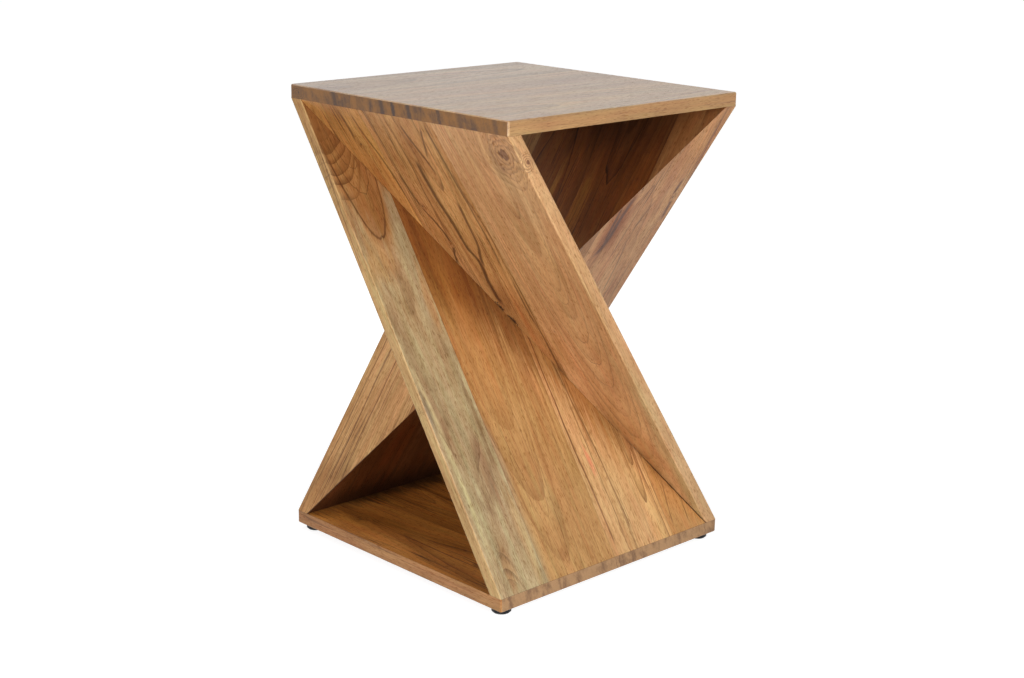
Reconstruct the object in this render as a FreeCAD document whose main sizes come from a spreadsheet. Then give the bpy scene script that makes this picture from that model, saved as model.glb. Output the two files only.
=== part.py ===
"""Accent table of solid wood: a square top and a square base joined by two folded wings.

Millimetres. Origin at the middle of the footprint on the ground, +Z up, +X to the right along the front face,
+Y towards the back. Each wing is two right-triangle panels that meet in one long compound mitre, which runs
from a corner of the top to the opposite corner of the base. The upper panel of a wing hangs from the top, the
lower one stands on the base, and each has one free edge flush with a side of the table. The ridges of the two
wings cross in the middle, in a halving joint. Every board is glued up from staves, each a piece of its own.
"""
import FreeCAD
import Part
import Sketcher
import os

doc = FreeCAD.newDocument("accent_table")

# Driving dimensions, in millimetres
SIZES = (
    ("overall_width", 406),
    ("overall_height", 610),
    ("board", 17.5),
    ("corner_round", 3),
    ("plate_arris", 1.2),
    ("panel_arris", 2),
    ("dowel_diameter", 6),
    ("dowel_in_plate", 10.5),
    ("dowel_in_panel", 13),
    ("spline_reach", 9),
    ("spline_thickness", 4),
    ("spline_setback", 40),
    ("spline_middle_gap", 60),
    ("crossing_dowel_diameter", 8),
    ("crossing_dowel_length", 20),
    ("joint_play", 0.1),
    ("joint_end_gap", 1),
    ("glide_diameter", 25),
    ("glide_height", 8),
    ("glide_inset", 17.5),
    ("glide_bevel", 2),
    ("pin_diameter", 2.5),
    ("pin_in_glide", 5),
    ("pin_in_base", 13),
)

# Stave widths as shares of the board's width: the top's from the front, the base's from the left, and a
# panel's from its free edge
TOP_STAVE_SHARES = (0.37, 0.33, 0.30)
BASE_STAVE_SHARES = (0.265, 0.265, 0.26, 0.21)
FRONT_UPPER_STAVE_SHARES = (0.333, 0.334, 0.333)
FRONT_LOWER_STAVE_SHARES = (0.20, 0.30, 0.28, 0.22)
BACK_UPPER_STAVE_SHARES = (0.29, 0.275, 0.265, 0.17)
BACK_LOWER_STAVE_SHARES = (0.32, 0.345, 0.335)

sizes = doc.addObject("Spreadsheet::Sheet", "sizes")
for row, (word, value) in enumerate(SIZES, start=1):
    sizes.set(f"A{row}", word)
    sizes.set(f"B{row}", str(value))
    sizes.setAlias(f"B{row}", word)
doc.recompute()

# Places that follow from the sizes. A panel of the given thickness leans from one side of the table to the
# other: slope is its length up its face, foot the level width of its slanted section, run its level travel
# and lean its travel for each unit of height. mitre_run is the level travel of a mitre and mitre_length its
# length; its fall gives the sine and cosine of its slope. mitre_loss is the width that a panel's bevelled edge
# loses for each unit of depth square to the mitre, so that dowel_side and spline_side put the dowels and
# splines amid the wood at their full depth.
LAYOUT = (
    ("half", "sizes.overall_width / 2"),
    ("base_top", "sizes.glide_height + sizes.board"),
    ("top_under", "sizes.overall_height - sizes.board"),
    ("clear", "layout.top_under - layout.base_top"),
    ("middle", "(layout.top_under + layout.base_top) / 2"),
    ("slope", "sqrt(layout.clear ^ 2 + sizes.overall_width ^ 2 - sizes.board ^ 2)"),
    ("foot", "sizes.board * (layout.clear * layout.slope - sizes.board * sizes.overall_width)"
             " / (layout.clear ^ 2 - sizes.board ^ 2)"),
    ("run", "sizes.overall_width - layout.foot"),
    ("lean", "layout.run / layout.clear"),
    ("mitre_run", "layout.run * sqrt(2)"),
    ("mitre_length", "sqrt(layout.clear ^ 2 + layout.mitre_run ^ 2)"),
    ("fall_sine", "layout.clear / layout.mitre_length"),
    ("fall_cosine", "layout.mitre_run / layout.mitre_length"),
    ("mitre_loss", "sqrt(2 * (layout.foot / sizes.board) ^ 2 - 1)"),
    ("dowel_side", "(layout.foot + layout.lean * (sizes.dowel_in_panel + sizes.joint_end_gap)) / 2"),
    ("spline_side", "layout.mitre_loss * (sizes.spline_reach + sizes.joint_end_gap) / 2"),
    ("glide_centre", "layout.half - sizes.glide_inset"),
)
layout = doc.addObject("App::VarSet", "layout")
for word, rule in LAYOUT:
    layout.addProperty("App::PropertyFloat", word, "Layout", word)
    layout.setExpression(word, rule)
    doc.recompute()

TOUCH = 1e-6
FRONT, BACK = 1, -1
CORNERS = {"front_left": (-1, -1), "front_right": (1, -1), "back_left": (-1, 1), "back_right": (1, 1)}
parts = []


def number(rule):
    """The value of an expression now."""
    value = layout.evalExpression(rule)
    return float(getattr(value, "Value", value))


def plane(body, role):
    """One of the body's own origin planes."""
    return next(item for item in body.Origin.OriginFeatures if item.Role == role)


def attach(sketch, body, role, height="0", turn=0):
    """Lays a sketch on an origin plane, turned about its own upright axis and raised along its normal."""
    sketch.AttachmentSupport = (plane(body, role), "")
    sketch.MapMode = "FlatFace"
    upright = FreeCAD.Rotation(FreeCAD.Vector(0, 1, 0), turn)
    sketch.AttachmentOffset = FreeCAD.Placement(FreeCAD.Vector(), upright)
    sketch.setExpression("AttachmentOffset.Base.x", f"({height}) * sin({turn} deg)")
    sketch.setExpression("AttachmentOffset.Base.z", f"({height}) * cos({turn} deg)")


def outline(sketch, corners):
    """A closed outline of straight lines, with both coordinates of each corner bound to an expression."""
    points = [FreeCAD.Vector(number(across), number(up), 0) for across, up in corners]
    count = len(points)
    for index, point in enumerate(points):
        sketch.addGeometry(Part.LineSegment(point, points[(index + 1) % count]), False)
    for index in range(count):
        sketch.addConstraint(Sketcher.Constraint("Coincident", index, 2, (index + 1) % count, 1))
    for index, (corner, point) in enumerate(zip(corners, points)):
        for kind, rule, value in (("DistanceX", corner[0], point.x), ("DistanceY", corner[1], point.y)):
            if abs(value) < TOUCH:
                axis = -2 if kind == "DistanceX" else -1
                sketch.addConstraint(Sketcher.Constraint("PointOnObject", index, 1, axis))
                continue
            place = sketch.addConstraint(Sketcher.Constraint(kind, -1, 1, index, 1, value))
            sketch.setExpression(f"Constraints[{place}]", rule)


def ease(body, base, name, kind, reach, chosen):
    """Rounds or bevels the edges of the body's last feature that the test picks."""
    edges = [f"Edge{index}" for index, edge in enumerate(base.Shape.Edges, start=1) if chosen(edge)]
    eased = body.newObject(f"PartDesign::{kind}", name)
    eased.Base = (base, edges)
    eased.setExpression("Radius" if kind == "Fillet" else "Size", reach)
    doc.recompute()
    return eased


def ends(edge, axis):
    """The coordinates of an edge's two ends along one axis."""
    return [getattr(vertex.Point, axis) for vertex in edge.Vertexes]


def all_at(values, place):
    """Whether every value lies at the place."""
    return all(abs(value - place) < TOUCH for value in values)


def stave_board(name, cross, section, near, far):
    """A straight board: a section in the upright plane that the stave crosses, padded from near to far."""
    body = doc.addObject("PartDesign::Body", name)
    sketch = body.newObject("Sketcher::SketchObject", f"{name}_section")
    if cross == "y":
        attach(sketch, body, "XZ_Plane", f"-({far})")
    else:
        attach(sketch, body, "YZ_Plane", near)
    outline(sketch, section)
    pad = body.newObject("PartDesign::Pad", f"{name}_pad")
    pad.Profile = sketch
    pad.setExpression("Length", f"({far}) - ({near})")
    doc.recompute()
    return body, pad


def stave_places(shares, start, sign):
    """Near and far places of each stave, as expressions, from a starting side in the direction of sign."""
    places = []
    done = 0
    for share in shares:
        first = f"{start} + {sign} * {done:.4f} * sizes.overall_width"
        done += share
        last = f"{start} + {sign} * {done:.4f} * sizes.overall_width"
        places.append((first, last) if sign > 0 else (last, first))
    return places


def plate(prefix, names, cross, shares, low, high, outer):
    """A square board of staves with rounded upright corners and an eased outer rim."""
    half = number("layout.half")
    rim = number(outer)
    section = (("-layout.half", low), ("layout.half", low), ("layout.half", high), ("-layout.half", high))
    bodies = []
    for word, (near, far) in zip(names, stave_places(shares, "-layout.half", 1)):
        name = f"{prefix}_{word}"
        body, feature = stave_board(f"{name}_board", cross, section, near, far)
        sides = [number(near), number(far)]
        joints = [side for side in sides if abs(abs(side) - half) > TOUCH]

        def at_corner(edge):
            return all_at([abs(value) for value in ends(edge, "x") + ends(edge, "y")], half) \
                and not all_at(ends(edge, "z"), edge.Vertexes[0].Z)

        def at_rim(edge):
            return all_at(ends(edge, "z"), rim) \
                and not any(all_at(ends(edge, cross), side) for side in joints)

        if len(joints) < len(sides):
            feature = ease(body, feature, f"{name}_corners", "Fillet", "sizes.corner_round", at_corner)
        ease(body, feature, f"{name}_rim", "Chamfer", "sizes.plate_arris", at_rim)
        bodies.append((name, body))
    return bodies


def mitre(body, name, wing, keeps):
    """Cuts a stave along its wing's mitre plane, where keeps is the side of the diagonal that stays."""
    sketch = body.newObject("Sketcher::SketchObject", f"{name}_mitre_line")
    attach(sketch, body, "XZ_Plane", turn=-45)
    across = "layout.mitre_run / layout.clear"
    above = "layout.top_under + sizes.board"
    below = "layout.base_top - sizes.board"
    outside = f"{-keeps} * 2 * sizes.overall_width"
    outline(sketch, (
        (f"{-wing} * ({above} - layout.middle) * {across}", above),
        (f"{-wing} * ({below} - layout.middle) * {across}", below),
        (outside, below),
        (outside, above),
    ))
    pocket = body.newObject("PartDesign::Pocket", f"{name}_mitre")
    pocket.Profile = sketch
    pocket.SideType = "Symmetric"
    pocket.setExpression("Length", "4 * sizes.overall_width")
    doc.recompute()
    return pocket


def panel(prefix, cross, wing, hangs, shares):
    """A triangular panel of staves, hung from the top or standing on the base, cut by its wing's mitre."""
    side, free = f"{wing} * layout.half", f"{-wing} * layout.half"
    glued, tip = ("layout.top_under", "layout.base_top") if hangs else ("layout.base_top", "layout.top_under")
    section = (
        (free, glued),
        (f"{free} + {wing} * layout.foot", glued),
        (side, tip),
        (f"{side} - {wing} * layout.foot", tip),
    )
    free_side = -wing * number("layout.half")
    keeps = wing if hangs else -wing

    def at_free_edge(edge):
        return all_at(ends(edge, cross), free_side) and not all_at(ends(edge, "z"), edge.Vertexes[0].Z)

    bodies = []
    for count, (near, far) in enumerate(stave_places(shares, free, wing), start=1):
        name = f"{prefix}_stave_{count}"
        body, feature = stave_board(f"{name}_board", cross, section, near, far)
        if count == 1:
            ease(body, feature, f"{name}_arris", "Fillet", "sizes.panel_arris", at_free_edge)
        volume = body.Shape.Volume
        mitre(body, name, wing, keeps)
        if not body.Shape.Volume < volume:
            raise RuntimeError(f"{name}: the mitre cut nothing")
        bodies.append((name, body))
    return bodies


def rod(name, radius, height, place):
    """An upright round rod from the place of its foot."""
    cylinder = doc.addObject("Part::Cylinder", name)
    cylinder.setExpression("Radius", radius)
    cylinder.setExpression("Height", height)
    for letter, rule in zip("xyz", place):
        cylinder.setExpression(f"Placement.Base.{letter}", rule)
    return cylinder


def rod_and_hole(name, diameter, below, above, joint):
    """An upright dowel or pin that reaches below and above a joint, and its hole with play all round."""
    across, along, height = joint
    hole_below, hole_above = (f"{reach} + sizes.joint_end_gap" for reach in (below, above))
    dowel = rod(name, f"{diameter} / 2", f"{below} + {above}", (across, along, f"{height} - {below}"))
    hole = rod(f"{name}_hole", f"{diameter} / 2 + sizes.joint_play", f"{hole_below} + {hole_above}",
               (across, along, f"{height} - ({hole_below})"))
    return dowel, hole


def panel_dowels(prefix, cross, wing, hangs, shares):
    """Upright dowels between a panel and its plate, one in the middle of each stave's glued length."""
    dowels, holes = [], []
    reaches = ["sizes.dowel_in_panel", "sizes.dowel_in_plate"]
    height = "layout.top_under"
    if not hangs:
        reaches.reverse()
        height = "layout.base_top"
    inward = f"{-wing} * (layout.half - layout.dowel_side)"
    done = 0
    for count, share in enumerate(shares, start=1):
        near = f"{done:.4f} * sizes.overall_width"
        done += share
        far = f"{done:.4f} * sizes.overall_width"
        if count == len(shares):
            far = "(sizes.overall_width - 2 * layout.foot)"
        along = f"{-wing} * layout.half + {wing} * ({near} + {far}) / 2"
        joint = (inward, along, height) if cross == "y" else (along, inward, height)
        dowel, hole = rod_and_hole(f"{prefix}_{count}", "sizes.dowel_diameter", *reaches, joint)
        dowels.append(dowel)
        holes.append(hole)
    return dowels, holes


def mitre_strip(name, wing, half, play, gap):
    """A strip square to a wing's mitre, in its upper half or its lower one: a spline or its groove."""
    body = doc.addObject("PartDesign::Body", name)
    sketch = body.newObject("Sketcher::SketchObject", f"{name}_outline")
    attach(sketch, body, "XZ_Plane", f"{wing} * layout.spline_side", -45)
    first = f"{half} * (sizes.spline_middle_gap / 2 - {gap})"
    last = f"{half} * (layout.mitre_length / 2 - sizes.spline_setback + {gap})"
    reach = f"(sizes.spline_reach + {gap})"
    corners = []
    for along, side in ((first, -1), (last, -1), (last, 1), (first, 1)):
        corners.append((
            f"{wing} * ({along} * layout.fall_cosine + {side} * {reach} * layout.fall_sine)",
            f"layout.middle - {along} * layout.fall_sine + {side} * {reach} * layout.fall_cosine",
        ))
    outline(sketch, corners)
    pad = body.newObject("PartDesign::Pad", f"{name}_pad")
    pad.Profile = sketch
    pad.SideType = "Symmetric"
    pad.setExpression("Length", f"sizes.spline_thickness + 2 * {play}")
    doc.recompute()
    return body


def mitre_splines(prefix, wing):
    """The two splines of a wing's mitre, above and below the crossing, and their grooves."""
    splines, grooves = [], []
    for word, half in (("upper", -1), ("lower", 1)):
        name = f"{prefix}_{word}"
        splines.append(mitre_strip(name, wing, half, "0", "0"))
        grooves.append(mitre_strip(f"{name}_groove", wing, half, "sizes.joint_play", "sizes.joint_end_gap"))
    return splines, grooves


def crossing_rod(name, play, gap):
    """A level rod through the middle of the halving joint, square to it: the dowel or its hole."""
    cylinder = doc.addObject("Part::Cylinder", name)
    cylinder.setExpression("Radius", f"sizes.crossing_dowel_diameter / 2 + {play}")
    cylinder.setExpression("Height", f"sizes.crossing_dowel_length + 2 * {gap}")
    cylinder.Placement = FreeCAD.Placement(FreeCAD.Vector(), FreeCAD.Rotation(FreeCAD.Vector(-1, 1, 0), 90))
    start = f"-(sizes.crossing_dowel_length / 2 + {gap}) / sqrt(2)"
    for letter in "xy":
        cylinder.setExpression(f"Placement.Base.{letter}", start)
    cylinder.setExpression("Placement.Base.z", "layout.middle")
    return cylinder


def group(name, members):
    """Several like solids as one compound."""
    compound = doc.addObject("Part::Compound", name)
    compound.Links = members
    doc.recompute()
    return compound


def cut(name, base, tools):
    """A stave less its holes and notches, as a finished piece."""
    finished = doc.addObject("Part::Cut", name)
    finished.Base = base
    finished.Tool = tools
    return finished


def halving_notch(name, wing, other_bodies):
    """What one wing gives up to the other at the crossing: the other wing's own half of the joint."""
    whole = doc.addObject("Part::MultiFuse", f"{name}_other_wing")
    whole.Shapes = other_bodies
    side = doc.addObject("Part::Box", f"{name}_side")
    for edge in ("Length", "Width", "Height"):
        side.setExpression(edge, "2 * sizes.overall_height")
    turned = FreeCAD.Rotation(FreeCAD.Vector(0, 0, 1), 45 if wing == FRONT else 225)
    side.Placement = FreeCAD.Placement(FreeCAD.Vector(), turned)
    side.setExpression("Placement.Base.x", f"{wing} * sizes.overall_height / sqrt(2)")
    side.setExpression("Placement.Base.y", f"{-wing} * sizes.overall_height / sqrt(2)")
    side.setExpression("Placement.Base.z", "layout.middle - sizes.overall_height")
    notch = doc.addObject("Part::MultiCommon", name)
    notch.Shapes = [whole, side]
    doc.recompute()
    return notch


def glide(name, x_side, y_side):
    """A round plastic glide with a bevelled foot, and a blind hole for the pin that holds it."""
    body = doc.addObject("PartDesign::Body", name)
    sketch = body.newObject("Sketcher::SketchObject", f"{name}_profile")
    attach(sketch, body, "XZ_Plane")
    rim = "sizes.glide_diameter / 2"
    bore = "sizes.pin_diameter / 2 + sizes.joint_play"
    floor = "sizes.glide_height - sizes.pin_in_glide"
    outline(sketch, (
        ("0", floor),
        (bore, floor),
        (bore, "sizes.glide_height"),
        (rim, "sizes.glide_height"),
        (rim, "sizes.glide_bevel"),
        (f"{rim} - sizes.glide_bevel", "0"),
        ("0", "0"),
    ))
    turn = body.newObject("PartDesign::Revolution", f"{name}_turn")
    turn.Profile = sketch
    turn.ReferenceAxis = (sketch, ["V_Axis"])
    turn.Angle = 360
    body.setExpression("Placement.Base.x", f"{x_side} * layout.glide_centre")
    body.setExpression("Placement.Base.y", f"{y_side} * layout.glide_centre")
    doc.recompute()
    return body


def finish(name, shape):
    """Names a finished piece for its file."""
    shape.Label = name
    parts.append(shape)


# The boards before they are drilled and notched
top = plate("top_stave", ("front", "middle", "back"), "y", TOP_STAVE_SHARES,
            "layout.top_under", "sizes.overall_height", "sizes.overall_height")
base = plate("base_stave", ("left", "mid_left", "mid_right", "right"), "x", BASE_STAVE_SHARES,
             "sizes.glide_height", "layout.base_top", "sizes.glide_height")
front_wing = panel("front_upper", "y", FRONT, True, FRONT_UPPER_STAVE_SHARES) \
    + panel("front_lower", "x", FRONT, False, FRONT_LOWER_STAVE_SHARES)
back_wing = panel("back_upper", "y", BACK, True, BACK_UPPER_STAVE_SHARES) \
    + panel("back_lower", "x", BACK, False, BACK_LOWER_STAVE_SHARES)

# Dowels and splines, each with its hole or groove
inner_groups = {
    "front_upper_dowels": panel_dowels("front_upper_dowel", "y", FRONT, True, FRONT_UPPER_STAVE_SHARES),
    "front_lower_dowels": panel_dowels("front_lower_dowel", "x", FRONT, False, FRONT_LOWER_STAVE_SHARES),
    "back_upper_dowels": panel_dowels("back_upper_dowel", "y", BACK, True, BACK_UPPER_STAVE_SHARES),
    "back_lower_dowels": panel_dowels("back_lower_dowel", "x", BACK, False, BACK_LOWER_STAVE_SHARES),
    "front_mitre_splines": mitre_splines("front_mitre_spline", FRONT),
    "back_mitre_splines": mitre_splines("back_mitre_spline", BACK),
}
crossing_dowel = crossing_rod("crossing_dowel_rod", "0", "0")
crossing_hole = crossing_rod("crossing_dowel_hole", "sizes.joint_play", "sizes.joint_end_gap")

# Glides and their pins under the four corners
pins, pin_holes = [], []
for word, (x_side, y_side) in CORNERS.items():
    finish(f"glide_{word}", glide(f"glide_{word}", x_side, y_side))
    joint = (f"{x_side} * layout.glide_centre", f"{y_side} * layout.glide_centre", "sizes.glide_height")
    pin, hole = rod_and_hole(f"glide_pin_{word}", "sizes.pin_diameter",
                             "sizes.pin_in_glide", "sizes.pin_in_base", joint)
    pins.append(pin)
    pin_holes.append(hole)
finish("glide_pins", group("glide_pins", pins))

# Drilling and notching: every hole goes through each stave that it meets
inner_holes = [hole for pieces, hollows in inner_groups.values() for hole in hollows]
drillings = group("drillings", inner_holes + [crossing_hole] + pin_holes)
front_notch = halving_notch("front_notch", FRONT, [body for name, body in back_wing])
back_notch = halving_notch("back_notch", BACK, [body for name, body in front_wing])
front_tools = group("front_tools", [drillings, front_notch])
back_tools = group("back_tools", [drillings, back_notch])
tools_for = ((top, drillings), (base, drillings), (front_wing, front_tools), (back_wing, back_tools))
for staves, tools in tools_for:
    for name, body in staves:
        finish(name, cut(name, body, tools))
for name, (pieces, hollows) in inner_groups.items():
    finish(name, group(name, pieces))
finish("crossing_dowel", crossing_dowel)
doc.recompute()

# Nothing is written unless every object of the document is sound
for item in doc.Objects:
    if {"Invalid", "Error"} & set(item.State):
        raise RuntimeError(f"{item.Name}: {item.State}")
for item in parts:
    if item.Shape.isNull() or not item.Shape.isValid():
        raise RuntimeError(f"{item.Label}: its shape is not valid")
os.makedirs("parts", exist_ok=True)
for item in parts:
    item.Shape.exportStep(f"parts/{item.Label}.step")
    print(item.Label, len(item.Shape.Solids), round(item.Shape.Volume))
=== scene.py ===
"""Looks of the accent table: lacquered acacia on every stave, plastic glides, and a white studio.

Metres, in the frame of the CAD model. Inside the wood shader lengths are millimetres: s runs across a stave's
board from its free edge, t along the grain, and n square to the board's face.
"""
import math
from types import SimpleNamespace

import bpy
from mathutils import Matrix, Vector


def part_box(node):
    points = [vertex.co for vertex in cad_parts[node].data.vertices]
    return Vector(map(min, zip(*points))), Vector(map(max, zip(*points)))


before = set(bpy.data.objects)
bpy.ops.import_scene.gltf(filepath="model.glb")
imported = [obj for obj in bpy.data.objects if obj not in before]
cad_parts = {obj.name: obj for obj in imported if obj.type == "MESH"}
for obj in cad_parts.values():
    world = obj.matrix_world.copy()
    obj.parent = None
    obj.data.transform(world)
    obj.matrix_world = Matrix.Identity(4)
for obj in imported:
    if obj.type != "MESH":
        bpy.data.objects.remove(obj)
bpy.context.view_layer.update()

MILLIMETRES = 1000
UP = Vector((0, 0, 1))
LOWEST, HIGHEST = 0, 1
X, Y, Z = 0, 1, 2


def place_of(node, corner, axis):
    """One coordinate of a CAD node's box, to the micrometre."""
    return round(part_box(node)[corner][axis], 6)


# The table's sizes, from the boxes of its top and base, and what follows from them. A panel leans from one
# side to the other: foot is the level width of its slanted section, and lean its travel for each metre up.
HALF = place_of("top_stave_front", HIGHEST, X)
HEIGHT = place_of("top_stave_front", HIGHEST, Z)
TOP_UNDER = place_of("top_stave_front", LOWEST, Z)
BASE_TOP = place_of("base_stave_left", HIGHEST, Z)
BOARD = HEIGHT - TOP_UNDER
CLEAR = TOP_UNDER - BASE_TOP
SLOPE = math.sqrt(CLEAR ** 2 + (2 * HALF) ** 2 - BOARD ** 2)
FOOT = BOARD * (CLEAR * SLOPE - BOARD * 2 * HALF) / (CLEAR ** 2 - BOARD ** 2)
LEAN = (2 * HALF - FOOT) / CLEAR
RISE = 1 / math.hypot(1, LEAN)
SIDE = LEAN * RISE
INNER = HALF - FOOT
BOARD_WIDTH = 2 * HALF * MILLIMETRES
PLATE_REACH = CLEAR / 2 * MILLIMETRES

# A wing's crease runs down through the table's middle. These are the shares of its length that it falls and
# that it goes sideways.
CREASE_FALL = CLEAR / math.hypot(INNER + HALF, INNER + HALF, CLEAR)
CREASE_LEVEL = math.sqrt(1 - CREASE_FALL ** 2)
CROSSING = UP * (TOP_UNDER + BASE_TOP) / 2

# Each lie is where a board's s, t and n start, and the directions in which they run
LIES = {
    "front_upper": ((INNER, -HALF, BASE_TOP), (0, 1, 0), (-SIDE, 0, RISE), (RISE, 0, SIDE)),
    "front_lower": ((-HALF, -HALF, BASE_TOP), (1, 0, 0), (0, SIDE, RISE), (0, -RISE, SIDE)),
    "back_upper": ((-INNER, HALF, BASE_TOP), (0, -1, 0), (SIDE, 0, RISE), (-RISE, 0, SIDE)),
    "back_lower": ((HALF, HALF, BASE_TOP), (-1, 0, 0), (0, -SIDE, RISE), (0, RISE, SIDE)),
    "top": ((-HALF, -HALF, HEIGHT), (0, 1, 0), (1, 0, 0), (0, 0, -1)),
    "base": ((-HALF, -HALF, BASE_TOP), (1, 0, 0), (0, 1, 0), (0, 0, 1)),
}


class Value:
    """A number inside a shader, which makes math nodes when it is added, multiplied and so on."""

    def __init__(self, graph, socket):
        self.graph = graph
        self.socket = socket

    def __add__(self, other):
        return self.graph.math("ADD", self, other)

    def __radd__(self, other):
        return self.graph.math("ADD", other, self)

    def __sub__(self, other):
        return self.graph.math("SUBTRACT", self, other)

    def __rsub__(self, other):
        return self.graph.math("SUBTRACT", other, self)

    def __mul__(self, other):
        return self.graph.math("MULTIPLY", self, other)

    def __rmul__(self, other):
        return self.graph.math("MULTIPLY", other, self)

    def __truediv__(self, other):
        return self.graph.math("DIVIDE", self, other)


class Graph:
    """Short ways to build the nodes of a material or of the world."""

    def __init__(self, owner):
        owner.use_nodes = True
        self.tree = owner.node_tree
        self.tree.nodes.clear()

    def node(self, kind, **settings):
        made = self.tree.nodes.new("ShaderNode" + kind)
        for word, value in settings.items():
            setattr(made, word, value)
        return made

    def feed(self, socket, value):
        if isinstance(value, Value):
            value = value.socket
        if isinstance(value, bpy.types.NodeSocket):
            self.tree.links.new(value, socket)
        else:
            socket.default_value = value

    def math(self, operation, *values, clamp=False):
        made = self.node("Math", operation=operation, use_clamp=clamp)
        for socket, value in zip(made.inputs, values):
            self.feed(socket, value)
        return Value(self, made.outputs[0])

    def absolute(self, value):
        return self.math("ABSOLUTE", value)

    def larger(self, first, second):
        return self.math("MAXIMUM", first, second)

    def smaller(self, first, second):
        return self.math("MINIMUM", first, second)

    def capped(self, value):
        """The value, kept from 0 to 1."""
        return self.math("MINIMUM", value, 1.0, clamp=True)

    def power(self, value, exponent):
        return self.math("POWER", value, exponent)

    def distance(self, first, second):
        return self.math("SQRT", first * first + second * second)

    def whole_and_part(self, value):
        whole = self.math("FLOOR", value)
        return whole, value - whole

    def step(self, value, low, high, start=0.0, end=1.0):
        """A smooth change from start to end while the value goes from low to high."""
        made = self.node("MapRange", interpolation_type="SMOOTHSTEP")
        words = ("Value", "From Min", "From Max", "To Min", "To Max")
        for word, number in zip(words, (value, low, high, start, end)):
            self.feed(made.inputs[word], number)
        return Value(self, made.outputs["Result"])

    def fall(self, value, low, high, start=1.0):
        """A smooth change from start to nothing while the value goes from low to high."""
        return self.step(value, low, high, start, 0.0)

    def between(self, value, low, high, fade_in, fade_out):
        """1 from low to high, with a smooth change inside each end."""
        return self.step(value, low, low + fade_in) * self.fall(value, high - fade_out, high)

    def tooth(self, part, low, high, back):
        """A slow rise from low to high and a sudden fall from back to 1."""
        return self.step(part, low, high) * self.fall(part, back, 1.0)

    def bell(self, value, width):
        """1 at zero, falling to nothing past the width on both sides."""
        return self.power(0.5, self.power(self.absolute(value) / width, 2.0))

    def curve(self, value, points):
        """A smooth line through given points, as the value goes along it."""
        starts = [point[0] for point in points]
        heights = [point[1] for point in points]
        low, high = min(starts), max(starts)
        bottom, top = min(heights) - 1, max(heights) + 1
        made = self.node("FloatCurve")
        line = made.mapping.curves[0]
        places = sorted(((x - low) / (high - low), (y - bottom) / (top - bottom)) for x, y in points)
        line.points[0].location = places[0]
        line.points[1].location = places[-1]
        for place in places[1:-1]:
            line.points.new(*place)
        made.mapping.update()
        self.feed(made.inputs["Value"], (value - low) / (high - low))
        return Value(self, made.outputs["Value"]) * (top - bottom) + bottom

    def here(self):
        """The point's place in the part's own frame, in metres."""
        return self.node("TexCoord").outputs["Object"]

    def split(self, vector):
        made = self.node("SeparateXYZ")
        self.feed(made.inputs[0], vector)
        return [Value(self, made.outputs[axis]) for axis in "XYZ"]

    def join(self, *values):
        made = self.node("CombineXYZ")
        for socket, value in zip(made.inputs, values):
            self.feed(socket, value)
        return made.outputs[0]

    def dot(self, vector, direction):
        made = self.node("VectorMath", operation="DOT_PRODUCT")
        self.feed(made.inputs[0], vector)
        made.inputs[1].default_value = direction
        return Value(self, made.outputs["Value"])

    def scaled(self, vector, scale, shift=(0, 0, 0)):
        made = self.node("Mapping")
        self.feed(made.inputs["Vector"], vector)
        made.inputs["Scale"].default_value = scale
        made.inputs["Location"].default_value = shift
        return made.outputs["Vector"]

    def noise(self, vector, detail=1.0, roughness=0.5):
        """Noise about zero, in three dimensions."""
        made = self.node("TexNoise", noise_dimensions="3D")
        self.feed(made.inputs["Vector"], vector)
        made.inputs["Scale"].default_value = 1
        made.inputs["Detail"].default_value = detail
        made.inputs["Roughness"].default_value = roughness
        return Value(self, made.outputs["Fac"]) - 0.5

    def noise_of(self, value, detail=0.0):
        """Noise about zero, along one number."""
        made = self.node("TexNoise", noise_dimensions="1D")
        self.feed(made.inputs["W"], value)
        made.inputs["Scale"].default_value = 1
        made.inputs["Detail"].default_value = detail
        return Value(self, made.outputs["Fac"]) - 0.5

    def chance(self, value):
        """A random number from 0 to 1 for each whole number."""
        made = self.node("TexWhiteNoise", noise_dimensions="1D")
        self.feed(made.inputs["W"], value)
        return Value(self, made.outputs["Value"])

    def mix(self, amount, first, second, blend="MIX"):
        """A colour between two."""
        made = self.node("Mix", data_type="RGBA", blend_type=blend)
        for socket, value in ((made.inputs[0], amount), (made.inputs[6], first), (made.inputs[7], second)):
            if isinstance(value, tuple):
                value = (*value, 1.0)
            self.feed(socket, value)
        return made.outputs[2]

    def seen(self):
        """1 for rays that come straight, mirrored or through glass from the camera, and 0 for other light."""
        ray = self.node("LightPath")
        direct, glossy, through = (
            Value(self, ray.outputs[f"Is {word} Ray"]) for word in ("Camera", "Glossy", "Transmission")
        )
        return self.larger(self.larger(direct, glossy), through)


class Finish(Graph):
    """The graph of one material."""

    def __init__(self, name):
        self.material = bpy.data.materials.new(name)
        super().__init__(self.material)

    def surface(self, colour, rough, plain=(), bump=None):
        """The shader and the output. A bump is a height, how much of it shows and its depth in metres."""
        shader = self.node("BsdfPrincipled")
        self.feed(shader.inputs["Base Color"], colour)
        self.feed(shader.inputs["Roughness"], rough)
        for word, number in plain:
            shader.inputs[word].default_value = number
        if bump:
            height, strength, depth = bump
            made = self.node("Bump")
            made.inputs["Strength"].default_value = strength
            made.inputs["Distance"].default_value = depth
            self.feed(made.inputs["Height"], height)
            self.feed(shader.inputs["Normal"], made.outputs[0])
        self.output(shader.outputs[0])

    def output(self, shader):
        self.feed(self.node("OutputMaterial").inputs["Surface"], shader)


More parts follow.
